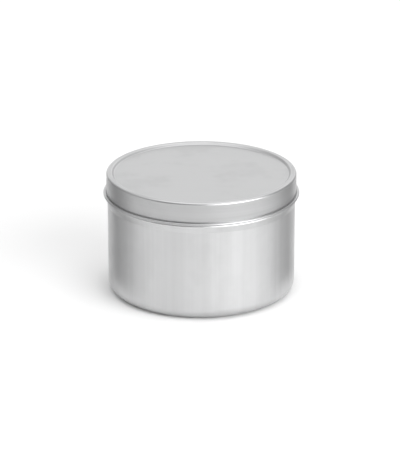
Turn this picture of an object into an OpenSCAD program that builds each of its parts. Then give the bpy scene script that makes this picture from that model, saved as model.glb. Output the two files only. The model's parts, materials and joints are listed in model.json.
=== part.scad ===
// Round slip-lid candle tin: a seamless drawn tinplate body with a stop bead,
// and a pressed lid whose rolled edge comes down onto that bead.
// Millimetres. The origin is at the centre of the base, on the table, +Z up.

/* [Tin] */
// Outside diameter of the drawn body
body_d = 79; // [60:0.5:120]
// Height of the closed tin, from the table to the top of the lid
closed_h = 51.6; // [32:0.2:100]
// Thickness of the tinplate
sheet_t = 0.25; // [0.2:0.01:0.3]

/* [Base] */
// Outside radius of the rounded corner between wall and base
base_corner_r = 4.5; // [2:0.1:8]
// Width of the flat ring that the tin stands on
stand_ring_w = 1.6; // [0.8:0.1:4]
// Height that the middle of the base is pressed up
base_panel_rise = 0.8; // [0.4:0.1:2]

/* [Stop bead] */
// How far the bead's crest stands proud of the wall
bead_rise = 0.8; // [0.5:0.05:0.85]
// Outside radius of the bead's rounded crest
bead_crest_r = 0.9; // [0.85:0.05:1.2]
// Height of the bead's flank, from the middle of its crest down to the wall
bead_flank_h = 2.8; // [2:0.05:5]

/* [Body rim] */
// Outside diameter of the edge that is rolled inwards
rim_roll_d = 1.2; // [0.95:0.05:1.5]

/* [Lid] */
// Height of the lid, from its rolled edge to its top
lid_h = 9.5; // [8:0.05:16]
// Outside radius of the shoulder between skirt and top
shoulder_r = 1; // [0.6:0.05:1.6]
// Width of the raised ring round the panel, shoulder included
lid_ring_w = 2.35; // [2:0.05:5]
// Depth of the flat panel below the raised ring
lid_panel_drop = 0.9; // [0.4:0.05:1.5]
// Height of the flattened edge that is rolled outwards
lid_roll_h = 1; // [0.9:0.05:1.4]
// Width of that edge, from the inside of the skirt outwards
lid_roll_w = 1.5; // [1.45:0.05:2.2]

/* [Clearances] */
// Gap all round between the body's wall and the lid's skirt
skirt_gap = 0.2; // [0.1:0.01:0.4]
// Gap between the lid's rolled edge and the stop bead
seat_gap = 0.15; // [0.05:0.01:0.3]
// Gap between the body's rolled rim and the inside of the lid
rim_gap = 0.15; // [0.1:0.01:0.4]
// Gap left where a rolled edge comes back to its own wall
roll_end_gap = 0.12; // [0.05:0.01:0.2]

/* [Hidden] */

$fn = 180;
roll_fn = 60;

// How far a cutting shape runs past the surface that it cuts
cut_past = 1;

// Body
body_r = body_d / 2;
stand_ring_in_r = body_r - base_corner_r - stand_ring_w;

// Lid skirt, and the rolled edge at its foot
lid_in_r = body_r + skirt_gap;
lid_r = lid_in_r + sheet_t;
lid_foot_z = closed_h - lid_h;
lid_roll_r = lid_roll_h / 2;
lid_roll_flat = lid_roll_w - lid_roll_h;
lid_roll_at = [lid_in_r + lid_roll_r, lid_foot_z + lid_roll_r];

// Lid top: the shoulder's centre, and the inner edge of the raised ring
shoulder_at = [lid_r - shoulder_r, closed_h - shoulder_r];
lid_ring_in_r = lid_r - lid_ring_w;

// The stop bead's crest sits where the lid's rolled edge comes down onto it
bead_x = body_r + bead_rise - bead_crest_r;
bead_to_roll = lid_roll_r + bead_crest_r + seat_gap;
bead_z = lid_roll_at[1] - sqrt(pow(bead_to_roll, 2) - pow(lid_roll_at[0] - bead_x, 2));
bead_at = [bead_x, bead_z];

// The bead's flank is the tangent from its crest to the wall, and leans by this angle
bead_foot_past = body_r - bead_x;
bead_lean = asin(bead_crest_r / sqrt(pow(bead_foot_past, 2) + pow(bead_flank_h, 2)))
    - atan(bead_foot_past / bead_flank_h);

// The rolled rim goes up under the lid's top, and under its shoulder where that
// reaches further in than the roll's own centre
rim_roll_r = rim_roll_d / 2;
rim_roll_x = body_r - rim_roll_r;
rim_in_shoulder = shoulder_r - sheet_t - rim_gap - rim_roll_r;
rim_past_shoulder = max(0, rim_roll_x - shoulder_at[0]);
rim_roll_z = shoulder_at[1]
    + sqrt(max(0, pow(rim_in_shoulder, 2) - pow(rim_past_shoulder, 2)))
    * sign(rim_in_shoulder);
rim_roll_at = [rim_roll_x, rim_roll_z];

// Outline of a roll: a circle, drawn out by flat towards +X where flat is not zero
module roll_outline(roll_r, flat) {
    circle(roll_r, $fn = roll_fn);
    if (flat > 0) {
        translate([flat, 0])
            circle(roll_r, $fn = roll_fn);
        translate([0, -roll_r])
            square([flat, 2 * roll_r]);
    }
}

// A rolled edge whose wall comes in from +Y at its left side, and whose end comes
// back to within roll_end_gap of that wall
module rolled_edge(roll_r, flat) {
    difference() {
        roll_outline(roll_r, flat);
        roll_outline(roll_r - sheet_t, flat);
        translate([-roll_r - cut_past, 0])
            square([cut_past + sheet_t + roll_end_gap, roll_r + cut_past]);
    }
}

// The pressed-up middle of the base, with a side that leans at 45 degrees
module base_panel_recess(inset) {
    slope = stand_ring_in_r + sqrt(2) * inset;
    top = base_panel_rise + inset;
    polygon([[0, -cut_past], [slope + cut_past, -cut_past], [slope - top, top], [0, top]]);
}

// The stop bead's rounded crest and leaning flank, with their surface moved in by inset
module stop_bead_outline(inset) {
    wall = body_r - inset;
    crest_r = bead_crest_r - inset;
    flank_top = bead_at + crest_r * [cos(bead_lean), -sin(bead_lean)];
    foot_z = flank_top[1] - (flank_top[0] - wall) / tan(bead_lean);
    translate(bead_at)
        circle(crest_r, $fn = roll_fn);
    polygon([bead_at, bead_at - [cut_past, 0], [wall - cut_past, foot_z], [wall, foot_z], flank_top]);
}

// Half section of the body as a solid, with its surface moved in by inset
module body_outline(inset, top) {
    difference() {
        union() {
            translate([0, inset])
                square([body_r - base_corner_r, top - inset]);
            translate([0, base_corner_r])
                square([body_r - inset, top - base_corner_r]);
            translate([body_r - base_corner_r, base_corner_r])
                circle(base_corner_r - inset);
            stop_bead_outline(inset);
        }
        base_panel_recess(inset);
    }
}

// The lowered middle of the lid's top, with a side that leans at 45 degrees
module lid_panel_recess(inset) {
    slope = lid_ring_in_r + sqrt(2) * inset;
    depth = lid_panel_drop + inset;
    translate([0, closed_h])
        polygon([[0, cut_past], [slope + cut_past, cut_past], [slope - depth, -depth], [0, -depth]]);
}

// Half section of the lid as a solid, with its surface moved in by inset
module lid_outline(inset, foot) {
    difference() {
        union() {
            translate([0, foot])
                square([lid_r - inset, shoulder_at[1] - foot]);
            translate([0, foot])
                square([shoulder_at[0], closed_h - inset - foot]);
            translate(shoulder_at)
                circle(shoulder_r - inset);
        }
        lid_panel_recess(inset);
    }
}

// Drawn body: base, wall, stop bead and inward rolled rim, in one sheet
module tin_body() {
    color([0.78, 0.79, 0.80])
        rotate_extrude() {
            difference() {
                body_outline(0, rim_roll_at[1]);
                body_outline(sheet_t, rim_roll_at[1] + cut_past);
            }
            translate(rim_roll_at)
                rotate(180)
                    rolled_edge(rim_roll_r, 0);
        }
}

// Pressed lid: panel, raised ring, skirt and outward rolled edge, in one sheet
module slip_lid() {
    color([0.80, 0.81, 0.82])
        rotate_extrude() {
            difference() {
                lid_outline(0, lid_roll_at[1]);
                lid_outline(sheet_t, lid_roll_at[1] - cut_past);
            }
            translate(lid_roll_at)
                rolled_edge(lid_roll_r, lid_roll_flat);
        }
}

tin_body();
slip_lid();
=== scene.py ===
import json
import math

import bpy
from bpy.props import FloatProperty, FloatVectorProperty, IntProperty, PointerProperty
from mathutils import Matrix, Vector


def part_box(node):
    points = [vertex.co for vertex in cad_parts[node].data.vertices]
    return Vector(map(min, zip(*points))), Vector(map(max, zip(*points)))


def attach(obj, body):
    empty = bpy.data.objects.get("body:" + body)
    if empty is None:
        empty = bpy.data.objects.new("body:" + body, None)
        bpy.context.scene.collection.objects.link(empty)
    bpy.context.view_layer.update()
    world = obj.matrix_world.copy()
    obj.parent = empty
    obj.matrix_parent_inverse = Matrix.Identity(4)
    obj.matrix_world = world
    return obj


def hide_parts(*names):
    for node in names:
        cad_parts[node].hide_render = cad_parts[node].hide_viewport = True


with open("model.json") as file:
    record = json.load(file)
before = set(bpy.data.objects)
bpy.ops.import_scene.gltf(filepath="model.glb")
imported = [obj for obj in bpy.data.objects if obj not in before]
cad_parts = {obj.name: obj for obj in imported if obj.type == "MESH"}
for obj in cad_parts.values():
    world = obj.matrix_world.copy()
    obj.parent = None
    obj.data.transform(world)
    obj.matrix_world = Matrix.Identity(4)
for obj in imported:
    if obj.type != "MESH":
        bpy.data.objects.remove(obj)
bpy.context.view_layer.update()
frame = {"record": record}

bl_info = {
    "name": "Slip-lid candle tin",
    "version": (1, 0, 0),
    "blender": (4, 5, 0),
    "location": "3D View > Sidebar > Tin",
    "description": "A drawn tinplate candle tin with a lift-off lid, and a soft white studio for it",
    "category": "Object",
}

MM = 0.001

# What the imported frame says: mount sizes and the two pieces' boxes, in metres
MOUNTS = {mount["name"]: mount for mount in frame["record"]["mounts"]}
WALL_RADIUS = MOUNTS["outer_wall"]["dims"]["r_mm"] * MM
PANEL_HEIGHT = MOUNTS["lid_panel"]["pos_m"][2]
BODY_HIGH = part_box("tin_body")[1]
LID_LOW, LID_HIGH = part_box("slip_lid")

# Gaps: between the lid's rolled edge and the bead, and where a roll comes back to its own wall
SEAT_GAP = 0.15 * MM
ROLL_END_GAP = 0.12 * MM

# A bend of this radius or less counts as fully tight for the burnish and its painted highlight
TIGHT_BEND = 0.5 * MM

# Points closer together than this are welded into one
WELD = 1e-6

# Grain patterns, as the noise's repeats per metre along X, Y and Z
UPRIGHT_GRAIN = (700, 700, 14)
ROUND_GRAIN = (25, 25, 2600)
LEVEL_GRAIN = (16, 900, 900)

# Studio: azimuth, elevation and half width in degrees, and strength, of each soft patch of the sky
SKY_STRENGTH = 0.3
SKY_PATCHES = {
    "main": (45, 12, 42, 4.6),
    "front": (0, 45, 42, 0.3),
    "above": (0, 90, 50, 0.95),
    "rear_right": (135, 40, 42, 0.72),
    "rear": (180, 12, 42, 0.76),
    "left": (-95, 30, 50, 0.4),
    "rear_left": (-150, 35, 50, 0.2),
}
FLOOR_HALF_WIDTH = 3.0
CARD_RADIUS = 52 * MM
CARD_BOTTOM = 0.5 * MM
CARD_TOP = 70 * MM

# The camera goes round this point at its set distance, and looks at the other
CAMERA_CENTRE = Vector((0, 0, 23.7 * MM))
CAMERA_AIM = Vector((-0.57 * MM, 0, 27.35 * MM))


# ---------------------------------------------------------------- settings


def length(label, description, default_mm, low_mm=0.0, high_mm=200.0):
    """A size in metres whose default is given in millimetres."""
    return FloatProperty(
        name=label,
        description=description,
        default=default_mm * MM,
        min=low_mm * MM,
        max=high_mm * MM,
        precision=5,
        unit="LENGTH",
        subtype="DISTANCE",
    )


def share(label, description, default):
    """A plain number from 0 to 1."""
    return FloatProperty(
        name=label, description=description, default=default, min=0, max=1, subtype="FACTOR"
    )


def colour(label, description, default):
    """A linear RGB colour."""
    return FloatVectorProperty(
        name=label, description=description, default=default, min=0, max=1, size=3, subtype="COLOR"
    )


class TIN_PG_sheet(bpy.types.PropertyGroup):
    """Sizes that both pressings share, and how finely they are turned."""

    thickness: length("Sheet", "Thickness of the tinplate", 0.25, 0.1, 0.5)
    segments: IntProperty(
        name="Segments", description="Steps round a turned piece", default=256, min=48, max=400
    )
    arc_step: FloatProperty(
        name="Arc step",
        description="Largest angle between two points on a bend of the section",
        default=math.radians(7),
        min=math.radians(2),
        max=math.radians(30),
        subtype="ANGLE",
    )


class TIN_PG_body(bpy.types.PropertyGroup):
    """Sizes of the drawn body."""

    radius: length("Wall radius", "Outside radius of the straight wall", WALL_RADIUS / MM)
    rim_top: length("Rim height", "Height of the rolled rim's top", BODY_HIGH.z / MM)
    rim_roll: length("Rim roll", "Outside diameter of the rim's inward roll", 1.2)
    bead_radius: length("Bead radius", "Radius of the tin at the stop bead's crest", BODY_HIGH.x / MM)
    bead_crest: length("Bead crest", "Outside radius of the bead's rounded crest", 0.9)
    bead_flank: length("Bead flank", "Height from the crest's middle down to the wall", 2.8)
    bead_crease: length("Bead crease", "Bend radius where the bead meets the wall", 0.3)
    corner: length("Base corner", "Outside radius of the base corner", 4.5)
    stand_ring: length("Stand ring", "Width of the flat ring that the tin stands on", 1.6)
    base_rise: length("Base rise", "Height that the base's middle is pressed up", 0.8)
    base_bend: length("Base bend", "Bend radius of the pressed base", 0.7)


class TIN_PG_lid(bpy.types.PropertyGroup):
    """Sizes of the pressed lid."""

    top: length("Top", "Height of the raised ring above the table", LID_HIGH.z / MM)
    foot: length("Foot", "Height of the rolled edge's lowest point", LID_LOW.z / MM)
    roll_radius: length("Widest radius", "Radius of the lid at its rolled edge", LID_HIGH.x / MM)
    roll_height: length("Edge height", "Height of the skirt's flattened outward roll", 1.0)
    roll_width: length("Edge width", "Width of that roll, from the inside of the skirt", 1.5)
    shoulder: length("Shoulder", "Outside radius between skirt and top", 1.0)
    ring: length("Raised ring", "Width of the raised ring, shoulder included", 2.35)
    panel: length("Panel height", "Height of the flat panel above the table", PANEL_HEIGHT / MM)
    bend: length("Panel bend", "Bend radius at both edges of the panel's side", 0.7)


class TIN_PG_finish(bpy.types.PropertyGroup):
    """Colours and textures of the tinplate."""

    body_colour: colour("Body tinplate", "Colour of the body's clean tinplate", (0.565, 0.567, 0.57))
    # The lid is the body's tinplate painted darker: a shaded copy that paints the lid's shade into its
    # colour
    lid_colour_painted_shade: colour("Lid tinplate", "Colour of the lid's clean tinplate", (0.475, 0.477, 0.48))
    body_roughness: share("Body roughness", "Mean roughness of the body", 0.36)
    lid_roughness: share("Lid roughness", "Mean roughness of the lid", 0.34)
    grain: share("Grain", "Strength of the sheet's rolled and drawn grain", 0.35)
    smudges: share("Smudges", "Strength of the soft handling marks", 0.35)
    # Burnish lightens the colour of tight bends: partly rubbed wear, partly a painted highlight
    burnish_and_highlight: share("Burnish", "How far tight bends are polished bright", 0.3)


class TIN_PG_studio(bpy.types.PropertyGroup):
    """Camera, floor and lights."""

    distance: length("Distance", "From the camera to the middle of the tin", 1066.0, 200, 4000)
    elevation: FloatProperty(
        name="Elevation",
        description="Camera angle above the table",
        default=math.radians(20.74),
        subtype="ANGLE",
    )
    lens: FloatProperty(
        name="Lens", description="Focal length", default=201.4, min=20, max=400, unit="CAMERA"
    )
    floor_colour: colour("Floor", "Colour of the studio floor", (0.86, 0.86, 0.86))


# ---------------------------------------------------------------- section of a sheet-metal piece


class SheetPath:
    """The middle line of a bent sheet in half section, as points with normals and bend sizes.

    side is 1 where the outside is on the right of the way the path runs, and -1 on its left.
    """

    SUPPORT = 0.12 * MM  # a point this close to each end of a straight keeps its shading flat

    def __init__(self, side, arc_step):
        self.side = side
        self.arc_step = arc_step
        self.points = []

    def add(self, x, z, heading, bend):
        """One point where the path runs in the direction heading, on a bend of that radius."""
        point = Vector((x, z))
        if self.points and (point - self.points[-1][0]).length < 1e-7:
            return
        normal = self.side * Vector((math.sin(heading), -math.cos(heading)))
        self.points.append((point, normal, bend))

    def straight(self, end, rings=1):
        """A straight run to end, cut into rings equal lengths."""
        start = self.points[-1][0].copy()
        run = Vector(end) - start
        heading = math.atan2(run.y, run.x)
        marks = [step / rings for step in range(rings + 1)]
        support = self.SUPPORT / run.length
        if support < 0.3 / rings:
            marks += [support, 1 - support]
        for mark in sorted(marks):
            spot = start + run * mark
            self.add(spot.x, spot.y, heading, 0)

    def arc(self, centre, radius, start, end):
        """A bend round centre from one angle to another, in radians."""
        turn = math.copysign(1, end - start)
        count = max(2, math.ceil(abs(end - start) / self.arc_step))
        for step in range(count + 1):
            angle = start + (end - start) * step / count
            x = centre[0] + radius * math.cos(angle)
            z = centre[1] + radius * math.sin(angle)
            self.add(x, z, angle + turn * math.pi / 2, radius)

    def bend_at(self, corner, after, radius):
        """A straight run up to a bend of that radius round corner, towards the point after."""
        start = self.points[-1][0]
        corner = Vector(corner)
        into = (corner - start).normalized()
        out = (Vector(after) - corner).normalized()
        heading_in = math.atan2(into.y, into.x)
        turn = math.atan2(into.x * out.y - into.y * out.x, into.dot(out))
        tangent = radius * math.tan(abs(turn) / 2)
        self.straight(corner - into * tangent)
        sign = math.copysign(1, turn)
        centre = corner - into * tangent + sign * radius * Vector((-into.y, into.x))
        first = heading_in - sign * math.pi / 2
        self.arc(centre, radius, first, first + turn)


def sheet_outline(path, thickness):
    """Closed outline of the sheet: outside from the axis to the free end, round it, and back inside."""
    half = thickness / 2
    outside = [(point + normal * half, bend) for point, normal, bend in path.points]
    inside = [(point - normal * half, bend) for point, normal, bend in path.points]
    end, normal, bend = path.points[-1]
    along = path.side * Vector((-normal.y, normal.x))
    edge = []
    for step in range(1, 4):
        angle = math.pi * step / 4
        edge.append((end + half * (normal * math.cos(angle) + along * math.sin(angle)), half))
    return outside + edge + inside[::-1]


def body_path(sheet, body):
    """Base panel, stand ring, corner, wall, stop bead, neck and inward rolled rim."""
    half = sheet.thickness / 2
    path = SheetPath(1, sheet.arc_step)
    wall = body.radius - half
    slope = body.radius - body.corner - body.stand_ring + math.sqrt(2) * half
    panel_z = body.base_rise + half
    panel_edge = (slope - panel_z, panel_z)
    foot_edge = (slope - half, half)
    corner_at = (body.radius - body.corner, body.corner)

    path.add(0, panel_z, 0, 0)
    path.straight((panel_edge[0] * 0.8, panel_z), rings=6)
    path.bend_at(panel_edge, foot_edge, body.base_bend)
    path.bend_at(foot_edge, (corner_at[0], half), body.base_bend)
    path.straight((corner_at[0], half))
    path.arc(corner_at, body.corner - half, -math.pi / 2, 0)

    bead = BeadShape(sheet, body)
    path.straight((wall, bead.foot_z - 1.0 * MM), rings=6)
    path.bend_at((wall, bead.foot_z), bead.flank_top, bead.crease)
    path.straight(bead.flank_top, rings=2)
    path.arc(bead.at, bead.crest, -bead.lean, bead.crease_angle)
    path.arc(bead.crease_at, bead.crease, math.pi + bead.crease_angle, math.pi)

    rim = body.rim_roll / 2
    rim_at = (body.radius - rim, body.rim_top - rim)
    path.straight((wall, rim_at[1]), rings=2)
    path.arc(rim_at, rim - half, 0, 2 * math.pi - roll_end_angle(rim, sheet.thickness))
    return path


class BeadShape:
    """The stop bead's middle line: a leaning flank, a rounded crest and a tight crease to the neck."""

    def __init__(self, sheet, body):
        half = sheet.thickness / 2
        wall = body.radius - half
        self.crest = body.bead_crest - half
        self.crease = body.bead_crease
        self.at = (body.bead_radius - body.bead_crest, bead_height(body))

        past = body.radius - self.at[0]
        self.lean = math.asin(body.bead_crest / math.hypot(past, body.bead_flank))
        self.lean -= math.atan2(past, body.bead_flank)
        self.flank_top = (
            self.at[0] + self.crest * math.cos(self.lean),
            self.at[1] - self.crest * math.sin(self.lean),
        )
        self.foot_z = self.flank_top[1] - (self.flank_top[0] - wall) / math.tan(self.lean)

        across = wall + self.crease - self.at[0]
        up = math.sqrt((self.crest + self.crease) ** 2 - across**2)
        self.crease_at = (wall + self.crease, self.at[1] + up)
        self.crease_angle = math.atan2(up, across)


def bead_height(body):
    """Height of the bead's crest: the lid's rolled edge comes down to SEAT_GAP above it."""
    lid = bpy.context.scene.tin_lid
    roll = lid.roll_height / 2
    apart = roll + body.bead_crest + SEAT_GAP
    across = lid.roll_radius - lid.roll_width + roll - (body.bead_radius - body.bead_crest)
    return lid.foot + roll - math.sqrt(apart**2 - across**2)


def roll_end_angle(roll, thickness):
    """How far a roll's end stays back from the wall that it came from."""
    return math.acos((roll - thickness - ROLL_END_GAP) / roll)


def lid_path(sheet, lid):
    """Panel, its side, raised ring, shoulder, skirt and outward rolled edge."""
    half = sheet.thickness / 2
    path = SheetPath(-1, sheet.arc_step)
    roll = lid.roll_height / 2
    skirt_in = lid.roll_radius - lid.roll_width
    skirt_out = skirt_in + sheet.thickness
    slope = skirt_out - lid.ring + math.sqrt(2) * half
    panel_z = lid.panel - half
    drop = lid.top - panel_z
    panel_edge = (slope - drop, panel_z)
    ring_edge = (slope - half, lid.top - half)
    shoulder_at = (skirt_out - lid.shoulder, lid.top - lid.shoulder)
    roll_at = (skirt_in + roll, lid.foot + roll)
    far_at = (lid.roll_radius - roll, lid.foot + roll)

    path.add(0, panel_z, 0, 0)
    path.straight((panel_edge[0] * 0.9, panel_z), rings=8)
    path.bend_at(panel_edge, ring_edge, lid.bend)
    path.bend_at(ring_edge, (shoulder_at[0], lid.top - half), lid.bend)
    path.straight((shoulder_at[0], lid.top - half))
    path.arc(shoulder_at, lid.shoulder - half, math.pi / 2, 0)
    path.straight((skirt_out - half, roll_at[1]), rings=3)
    path.arc(roll_at, roll - half, math.pi, 1.5 * math.pi)
    path.straight((far_at[0], lid.foot + half))
    path.arc(far_at, roll - half, 1.5 * math.pi, 2.5 * math.pi)
    path.straight((roll_at[0], far_at[1] + roll - half))
    path.arc(roll_at, roll - half, 2.5 * math.pi, 3 * math.pi - roll_end_angle(roll, sheet.thickness))
    return path


# ---------------------------------------------------------------- geometry nodes


def lathe_tree():
    """Turns a section round the Z axis: x is the radius, and both of its ends are on the axis."""
    tree = bpy.data.node_groups.new("turn_section", "GeometryNodeTree")
    sockets = tree.interface
    sockets.new_socket("Section", in_out="INPUT", socket_type="NodeSocketGeometry")
    segments = sockets.new_socket("Segments", in_out="INPUT", socket_type="NodeSocketInt")
    segments.default_value = 256
    segments.min_value = 3
    weld = sockets.new_socket("Weld distance", in_out="INPUT", socket_type="NodeSocketFloat")
    weld.default_value = WELD
    sockets.new_socket("Finish", in_out="INPUT", socket_type="NodeSocketMaterial")
    sockets.new_socket("Piece", in_out="OUTPUT", socket_type="NodeSocketGeometry")

    node = tree.nodes.new
    link = tree.links.new
    given = node("NodeGroupInput")
    result = node("NodeGroupOutput")

    count = node("GeometryNodeAttributeDomainSize")
    link(given.outputs["Section"], count.inputs["Geometry"])
    around = integer(tree, "ADD", given.outputs["Segments"], 1)

    grid = node("GeometryNodeMeshGrid")
    link(count.outputs["Point Count"], grid.inputs["Vertices X"])
    link(around, grid.inputs["Vertices Y"])

    index = node("GeometryNodeInputIndex").outputs["Index"]
    row = integer(tree, "DIVIDE_FLOOR", index, around)
    column = integer(tree, "MODULO", index, around)

    place = node("GeometryNodeSampleIndex")
    place.data_type = "FLOAT_VECTOR"
    link(given.outputs["Section"], place.inputs["Geometry"])
    link(node("GeometryNodeInputPosition").outputs["Position"], place.inputs["Value"])
    link(row, place.inputs["Index"])

    turn = maths(tree, "DIVIDE", column, given.outputs["Segments"])
    angle = maths(tree, "MULTIPLY", turn, 2 * math.pi)

    spun = node("ShaderNodeVectorRotate")
    spun.rotation_type = "Z_AXIS"
    link(place.outputs["Value"], spun.inputs["Vector"])
    link(angle, spun.inputs["Angle"])
    moved = node("GeometryNodeSetPosition")
    link(grid.outputs["Mesh"], moved.inputs["Geometry"])
    link(spun.outputs["Vector"], moved.inputs["Position"])

    bend = node("GeometryNodeSampleIndex")
    bend.data_type = "FLOAT"
    bend_name = node("GeometryNodeInputNamedAttribute")
    bend_name.data_type = "FLOAT"
    bend_name.inputs["Name"].default_value = "bend"
    link(given.outputs["Section"], bend.inputs["Geometry"])
    link(bend_name.outputs["Attribute"], bend.inputs["Value"])
    link(row, bend.inputs["Index"])
    kept = node("GeometryNodeStoreNamedAttribute")
    kept.data_type = "FLOAT"
    kept.domain = "POINT"
    kept.inputs["Name"].default_value = "bend"
    link(moved.outputs["Geometry"], kept.inputs["Geometry"])
    link(bend.outputs["Value"], kept.inputs["Value"])

    welded = node("GeometryNodeMergeByDistance")
    link(kept.outputs["Geometry"], welded.inputs["Geometry"])
    link(given.outputs["Weld distance"], welded.inputs["Distance"])
    smooth = node("GeometryNodeSetShadeSmooth")
    link(welded.outputs["Geometry"], smooth.inputs["Geometry"])
    real = node("GeometryNodeRealizeInstances")
    link(smooth.outputs["Geometry"], real.inputs["Geometry"])
    finish = node("GeometryNodeSetMaterial")
    link(real.outputs["Geometry"], finish.inputs["Geometry"])
    link(given.outputs["Finish"], finish.inputs["Material"])
    link(finish.outputs["Geometry"], result.inputs["Piece"])
    return tree


def integer(tree, operation, first, second):
    """An integer maths node; second may be a socket or a plain number."""
    node = tree.nodes.new("FunctionNodeIntegerMath")
    node.operation = operation
    tree.links.new(first, node.inputs[0])
    if isinstance(second, int):
        node.inputs[1].default_value = second
    else:
        tree.links.new(second, node.inputs[1])
    return node.outputs[0]


def turned_piece(name, outline, finish, segments):
    """The outline turned round Z by the node tree, as a plain mesh object."""
    section = bpy.data.meshes.new(name + "_section")
    section.from_pydata([(spot.x, 0, spot.y) for spot, bend in outline], [], [])
    bends = section.attributes.new("bend", "FLOAT", "POINT")
    bends.data.foreach_set("value", [min(1, TIGHT_BEND / bend) if bend else 0 for spot, bend in outline])
    source = bpy.data.objects.new(name + "_source", section)
    bpy.context.scene.collection.objects.link(source)

    tree = bpy.data.node_groups.get("turn_section") or lathe_tree()
    modifier = source.modifiers.new("turn", "NODES")
    modifier.node_group = tree
    set_inputs(modifier, tree, {"Segments": segments, "Weld distance": WELD, "Finish": finish})
    bpy.context.view_layer.update()
    evaluated = source.evaluated_get(bpy.context.evaluated_depsgraph_get())
    mesh = bpy.data.meshes.new_from_object(evaluated)
    mesh.name = name
    for index in reversed(range(len(mesh.materials))):
        if mesh.materials[index] is None:
            mesh.materials.pop(index=index)
    bpy.data.objects.remove(source)
    bpy.data.meshes.remove(section)
    piece = bpy.data.objects.new(name, mesh)
    bpy.context.scene.collection.objects.link(piece)
    return piece


def set_inputs(modifier, tree, values):
    """Sets a modifier's named inputs through their identifiers."""
    for item in tree.interface.items_tree:
        if item.item_type == "SOCKET" and item.in_out == "INPUT" and item.name in values:
            modifier[item.identifier] = values[item.name]


# ---------------------------------------------------------------- materials


def shader_group(name, inputs, outputs):
    """An empty shader group with those float or vector inputs and float outputs."""
    tree = bpy.data.node_groups.new(name, "ShaderNodeTree")
    for label, value in inputs.items():
        kind = "NodeSocketFloat" if isinstance(value, (int, float)) else "NodeSocketVector"
        socket = tree.interface.new_socket(label, in_out="INPUT", socket_type=kind)
        socket.default_value = value
    for label in outputs:
        tree.interface.new_socket(label, in_out="OUTPUT", socket_type="NodeSocketFloat")
    return tree, tree.nodes.new("NodeGroupInput"), tree.nodes.new("NodeGroupOutput")


def maths(tree, operation, *values, clamp=False):
    """A maths node fed by sockets or plain numbers."""
    node = tree.nodes.new("ShaderNodeMath")
    node.operation = operation
    node.use_clamp = clamp
    for socket, value in zip(node.inputs, values):
        if isinstance(value, (int, float)):
            socket.default_value = value
        else:
            tree.links.new(value, socket)
    return node.outputs[0]


def stretched_noise(tree, stretch, detail, factor=1.0):
    """Noise over Object coordinates, stretched by a vector socket and scaled by factor."""
    place = tree.nodes.new("ShaderNodeTexCoord").outputs["Object"]
    scaled = tree.nodes.new("ShaderNodeVectorMath")
    scaled.operation = "MULTIPLY"
    tree.links.new(place, scaled.inputs[0])
    tree.links.new(stretch, scaled.inputs[1])
    noise = tree.nodes.new("ShaderNodeTexNoise")
    noise.inputs["Scale"].default_value = factor
    noise.inputs["Detail"].default_value = detail
    noise.inputs["Roughness"].default_value = 0.6
    tree.links.new(scaled.outputs[0], noise.inputs["Vector"])
    return noise.outputs["Fac"]


def spread(tree, value, low, high):
    """Stretches the range from low to high over 0 to 1, with soft ends."""
    remap = tree.nodes.new("ShaderNodeMapRange")
    remap.interpolation_type = "SMOOTHSTEP"
    remap.inputs["From Min"].default_value = low
    remap.inputs["From Max"].default_value = high
    tree.links.new(value, remap.inputs["Value"])
    return remap.outputs["Result"]


def sheet_grain():
    """Fine lines on the upright walls and straight rolling lines on the level faces."""
    inputs = {"Wall stretch": UPRIGHT_GRAIN, "Level stretch": LEVEL_GRAIN}
    tree, given, result = shader_group("sheet_grain", inputs, ("Fine", "Broad"))
    normal = tree.nodes.new("ShaderNodeSeparateXYZ")
    tree.links.new(tree.nodes.new("ShaderNodeTexCoord").outputs["Normal"], normal.inputs[0])
    level = spread(tree, maths(tree, "ABSOLUTE", normal.outputs["Z"]), 0.6, 0.95)
    for label, factor in (("Fine", 1.0), ("Broad", 0.22)):
        wall = stretched_noise(tree, given.outputs["Wall stretch"], 3, factor)
        flat = stretched_noise(tree, given.outputs["Level stretch"], 3, factor)
        flat = maths(tree, "MULTIPLY_ADD", flat, 0.25, 0.375)  # the level faces are much calmer
        mix = tree.nodes.new("ShaderNodeMix")
        tree.links.new(level, mix.inputs["Factor"])
        tree.links.new(wall, mix.inputs["A"])
        tree.links.new(flat, mix.inputs["B"])
        tree.links.new(spread(tree, mix.outputs["Result"], 0.3, 0.7), result.inputs[label])
    return tree


def handling_marks():
    """Soft, rounded smudges left by hands."""
    tree, given, result = shader_group("handling_marks", {"Scale": (55, 55, 55)}, ("Mask",))
    broad = stretched_noise(tree, given.outputs["Scale"], 2)
    close = stretched_noise(tree, given.outputs["Scale"], 4, 3.7)
    both = maths(tree, "MULTIPLY_ADD", close, 0.35, broad)
    tree.links.new(spread(tree, both, 0.62, 0.86), result.inputs["Mask"])
    return tree


def edge_burnish_and_highlight():
    """Tight bends rubbed bright, a little unevenly, from the mesh's bend attribute: partly burnish wear,
    partly a painted highlight on the bends.
    """
    tree, given, result = shader_group("edge_burnish_and_highlight", {"Scale": (120, 120, 120)}, ("Mask",))
    bend = tree.nodes.new("ShaderNodeAttribute")
    bend.attribute_name = "bend"
    wear = maths(tree, "MULTIPLY_ADD", stretched_noise(tree, given.outputs["Scale"], 1), 0.3, 0.6)
    tight = spread(tree, bend.outputs["Fac"], 0.1, 0.7)
    tree.links.new(maths(tree, "MULTIPLY", tight, wear, clamp=True), result.inputs["Mask"])
    return tree


def use_group(tree, name, build, **inputs):
    """A node of the shared group of that name, built the first time it is wanted."""
    node = tree.nodes.new("ShaderNodeGroup")
    node.node_tree = bpy.data.node_groups.get(name) or build()
    for label, value in inputs.items():
        node.inputs[label.replace("_", " ")].default_value = value
    return node.outputs


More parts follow.
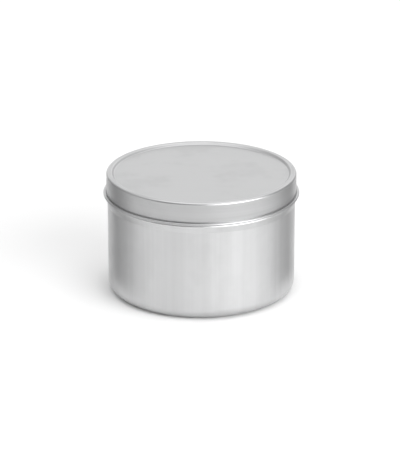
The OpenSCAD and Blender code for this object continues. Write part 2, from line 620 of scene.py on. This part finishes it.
def tinplate(name, clean, roughness, wall_stretch):
    """Satin tinplate whose wall grain runs the way that wall_stretch is smallest."""
    finish = bpy.context.scene.tin_finish
    material = bpy.data.materials.new(name)
    material.use_nodes = True
    tree = material.node_tree
    shader = tree.nodes["Principled BSDF"]
    grain = use_group(tree, "sheet_grain", sheet_grain, Wall_stretch=wall_stretch)
    marks = use_group(tree, "handling_marks", handling_marks)
    burnish_and_highlight = use_group(tree, "edge_burnish_and_highlight", edge_burnish_and_highlight)

    # Lightness: grain both ways, smudges darker, burnished bends brighter, which is partly real burnish and
    # partly a painted highlight
    light = maths(tree, "MULTIPLY_ADD", grain["Broad"], 0.16 * finish.grain, 1 - 0.08 * finish.grain)
    light = maths(tree, "MULTIPLY_ADD", grain["Fine"], 0.1 * finish.grain, light)
    light = maths(tree, "MULTIPLY_ADD", marks["Mask"], -0.1 * finish.smudges, light)
    # Tight bends lighter: partly burnish wear, partly a painted highlight on the bends
    light = maths(tree, "MULTIPLY_ADD", burnish_and_highlight["Mask"], 0.25 * finish.burnish_and_highlight, light)
    tint = tree.nodes.new("ShaderNodeVectorMath")
    tint.operation = "SCALE"
    tint.inputs[0].default_value = clean
    tree.links.new(light, tint.inputs["Scale"])
    tree.links.new(tint.outputs[0], shader.inputs["Base Color"])

    rough = maths(tree, "MULTIPLY_ADD", grain["Fine"], 0.12 * finish.grain, roughness - 0.06 * finish.grain)
    rough = maths(tree, "MULTIPLY_ADD", marks["Mask"], 0.14 * finish.smudges, rough)
    rough = maths(tree, "MULTIPLY_ADD", burnish_and_highlight["Mask"], -0.2 * finish.burnish_and_highlight, rough)
    tree.links.new(rough, shader.inputs["Roughness"])
    shader.inputs["Metallic"].default_value = 1

    height = maths(tree, "MULTIPLY_ADD", grain["Broad"], 2.0, grain["Fine"])
    bump = tree.nodes.new("ShaderNodeBump")
    bump.inputs["Strength"].default_value = finish.grain
    bump.inputs["Distance"].default_value = 0.006 * MM
    tree.links.new(height, bump.inputs["Height"])
    tree.links.new(bump.outputs["Normal"], shader.inputs["Normal"])
    return material


# ---------------------------------------------------------------- operators


class TIN_OT_body(bpy.types.Operator):
    """Turn the drawn body with its stop bead and rolled rim"""

    bl_idname = "tin.build_body"
    bl_label = "Tin body"

    def execute(self, context):
        scene = context.scene
        sheet = scene.tin_sheet
        outline = sheet_outline(body_path(sheet, scene.tin_body), sheet.thickness)
        outline.reverse()
        look = scene.tin_finish
        finish = tinplate("satin_body", look.body_colour, look.body_roughness, UPRIGHT_GRAIN)
        piece = turned_piece("drawn_body", outline, finish, sheet.segments)
        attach(piece, "tin")
        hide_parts("tin_body")
        return {"FINISHED"}


class TIN_OT_lid(bpy.types.Operator):
    """Turn the pressed lid with its raised ring and rolled edge"""

    bl_idname = "tin.build_lid"
    bl_label = "Slip lid"

    def execute(self, context):
        scene = context.scene
        sheet = scene.tin_sheet
        outline = sheet_outline(lid_path(sheet, scene.tin_lid), sheet.thickness)
        look = scene.tin_finish
        # The lid's darker colour is painted shade on the same tinplate as the body
        finish = tinplate("satin_lid", look.lid_colour_painted_shade, look.lid_roughness, ROUND_GRAIN)
        piece = turned_piece("pressed_lid", outline, finish, sheet.segments)
        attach(piece, "lid")
        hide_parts("slip_lid")
        return {"FINISHED"}


class TIN_OT_stage(bpy.types.Operator):
    """Set up the floor, the soft lights and the camera"""

    bl_idname = "tin.build_stage"
    bl_label = "Studio"

    def execute(self, context):
        studio = context.scene.tin_studio
        build_floor(studio)
        build_world()
        build_lights()
        build_camera(studio)
        context.scene.view_settings.view_transform = "Standard"
        return {"FINISHED"}


def build_floor(studio):
    """A wide plain matt floor."""
    half = FLOOR_HALF_WIDTH
    mesh = bpy.data.meshes.new("studio_floor")
    corners = [(-half, -half, 0), (half, -half, 0), (half, half, 0), (-half, half, 0)]
    mesh.from_pydata(corners, [], [(0, 1, 2, 3)])
    floor = bpy.data.objects.new("studio_floor", mesh)
    bpy.context.scene.collection.objects.link(floor)
    material = bpy.data.materials.new("studio_floor")
    material.use_nodes = True
    shader = material.node_tree.nodes["Principled BSDF"]
    shader.inputs["Base Color"].default_value = (*studio.floor_colour, 1)
    shader.inputs["Roughness"].default_value = 0.9
    shader.inputs["Specular IOR Level"].default_value = 0.0
    mesh.materials.append(material)


def towards(azimuth, elevation):
    """Unit vector in degrees; azimuth 0 is the camera's side and 90 is the right."""
    azimuth, elevation = math.radians(azimuth), math.radians(elevation)
    across = math.cos(elevation)
    return Vector((math.sin(azimuth) * across, -math.cos(azimuth) * across, math.sin(elevation)))


def sky_patch(tree, below, azimuth, elevation, half_width, strength):
    """Adds one soft round patch of light to the strength of the sky below it in the chain."""
    facing = tree.nodes.new("ShaderNodeVectorMath")
    facing.operation = "DOT_PRODUCT"
    facing.inputs[1].default_value = towards(azimuth, elevation)
    tree.links.new(tree.nodes.new("ShaderNodeTexCoord").outputs["Generated"], facing.inputs[0])
    patch = spread(tree, facing.outputs["Value"], math.cos(math.radians(half_width)), 1)
    return maths(tree, "MULTIPLY_ADD", patch, strength, below)


def build_world():
    """A pale tent all round the tin, with soft brighter patches; the strongest is low at the right front."""
    world = bpy.data.worlds.new("studio")
    bpy.context.scene.world = world
    world.use_nodes = True
    tree = world.node_tree
    sky = SKY_STRENGTH
    for azimuth, elevation, half_width, strength in SKY_PATCHES.values():
        sky = sky_patch(tree, sky, azimuth, elevation, half_width, strength)
    tree.links.new(sky, tree.nodes["Background"].inputs["Strength"])
    tree.nodes["Background"].inputs["Color"].default_value = (1, 1, 1, 1)


def reflection_card(name, front, darkest, rear, glow):
    """A curved card by the tin that only its reflections see, for a soft dark band on the wall.

    It runs between the azimuths front and rear, and turns clear from the darkest one to both edges.
    """
    steps = 32
    vertices = []
    fade = []
    for step in range(steps + 1):
        azimuth = front + (rear - front) * step / steps
        edge = rear if (azimuth - darkest) * (rear - front) > 0 else front
        spot = towards(azimuth, 0) * CARD_RADIUS
        for height in (CARD_BOTTOM, CARD_TOP):
            vertices.append((spot.x, spot.y, height))
            fade.append(abs(azimuth - darkest) / abs(edge - darkest))
    faces = [(2 * step, 2 * step + 1, 2 * step + 3, 2 * step + 2) for step in range(steps)]
    mesh = bpy.data.meshes.new(name)
    mesh.from_pydata(vertices, [], faces)
    mesh.attributes.new("fade", "FLOAT", "POINT").data.foreach_set("value", fade)
    card = bpy.data.objects.new(name, mesh)
    bpy.context.scene.collection.objects.link(card)
    card.visible_camera = False
    card.visible_diffuse = False
    card.visible_shadow = False
    card.visible_transmission = False
    material = bpy.data.materials.new(name)
    material.use_nodes = True
    tree = material.node_tree
    shader = tree.nodes["Principled BSDF"]
    shader.inputs["Base Color"].default_value = (0, 0, 0, 1)
    shader.inputs["Specular IOR Level"].default_value = 0
    shader.inputs["Emission Color"].default_value = (1, 1, 1, 1)
    kept = tree.nodes.new("ShaderNodeAttribute")
    kept.attribute_name = "fade"
    shader.inputs["Emission Strength"].default_value = glow
    soft = spread(tree, kept.outputs["Fac"], 0, 1)
    tree.links.new(maths(tree, "SUBTRACT", 1, soft), shader.inputs["Alpha"])
    mesh.materials.append(material)


def add_light(name, kind, energy, location):
    """A light that points straight down, with its power in watts."""
    data = bpy.data.lights.new(name, kind)
    data.energy = energy
    light = bpy.data.objects.new(name, data)
    light.location = location
    bpy.context.scene.collection.objects.link(light)
    return light


def build_lights():
    """A wide soft light overhead, a lamp that only lights the floor in front, and two dark cards."""
    overhead = add_light("overhead", "AREA", 2.5, (0, 0, 1.3))
    overhead.data.shape = "SQUARE"
    overhead.data.size = 1.6
    wash = add_light("floor_wash", "SPOT", 2.4, (14 * MM, -60 * MM, 0.5))
    wash.data.spot_size = math.radians(22)
    wash.data.spot_blend = 1
    wash.data.shadow_soft_size = 60 * MM
    wash.visible_glossy = False
    reflection_card("card_left", -42, -82, -108, 0.42)
    reflection_card("card_right", 48, 88, 114, 0.5)


def build_camera(studio):
    """The camera, raised above the table by the set elevation."""
    data = bpy.data.cameras.new("camera")
    data.lens = studio.lens
    data.sensor_width = 36
    camera = bpy.data.objects.new("camera", data)
    scene = bpy.context.scene
    scene.collection.objects.link(camera)
    way = Vector((0, -math.cos(studio.elevation), math.sin(studio.elevation)))
    camera.location = CAMERA_CENTRE + way * studio.distance
    camera.rotation_euler = (CAMERA_AIM - camera.location).to_track_quat("-Z", "Y").to_euler()
    scene.camera = camera


class TIN_PT_panel(bpy.types.Panel):
    """Buttons and sizes of the tin"""

    bl_label = "Candle tin"
    bl_idname = "TIN_PT_panel"
    bl_space_type = "VIEW_3D"
    bl_region_type = "UI"
    bl_category = "Tin"

    def draw(self, context):
        for operator in OPERATORS:
            self.layout.operator(operator.bl_idname)
        for name in SETTINGS:
            box = self.layout.box()
            group = getattr(context.scene, name)
            for key in group.__annotations__:
                box.prop(group, key)


OPERATORS = (TIN_OT_stage, TIN_OT_body, TIN_OT_lid)
SETTINGS = {
    "tin_sheet": TIN_PG_sheet,
    "tin_body": TIN_PG_body,
    "tin_lid": TIN_PG_lid,
    "tin_finish": TIN_PG_finish,
    "tin_studio": TIN_PG_studio,
}


def register():
    for group in (*SETTINGS.values(), *OPERATORS, TIN_PT_panel):
        bpy.utils.register_class(group)
    for name, group in SETTINGS.items():
        setattr(bpy.types.Scene, name, PointerProperty(type=group))


def unregister():
    for name in SETTINGS:
        delattr(bpy.types.Scene, name)
    for group in reversed((*SETTINGS.values(), *OPERATORS, TIN_PT_panel)):
        bpy.utils.unregister_class(group)


def main():
    register()
    bpy.ops.tin.build_stage()
    bpy.ops.tin.build_body()
    bpy.ops.tin.build_lid()


if __name__ == "__main__":
    main()
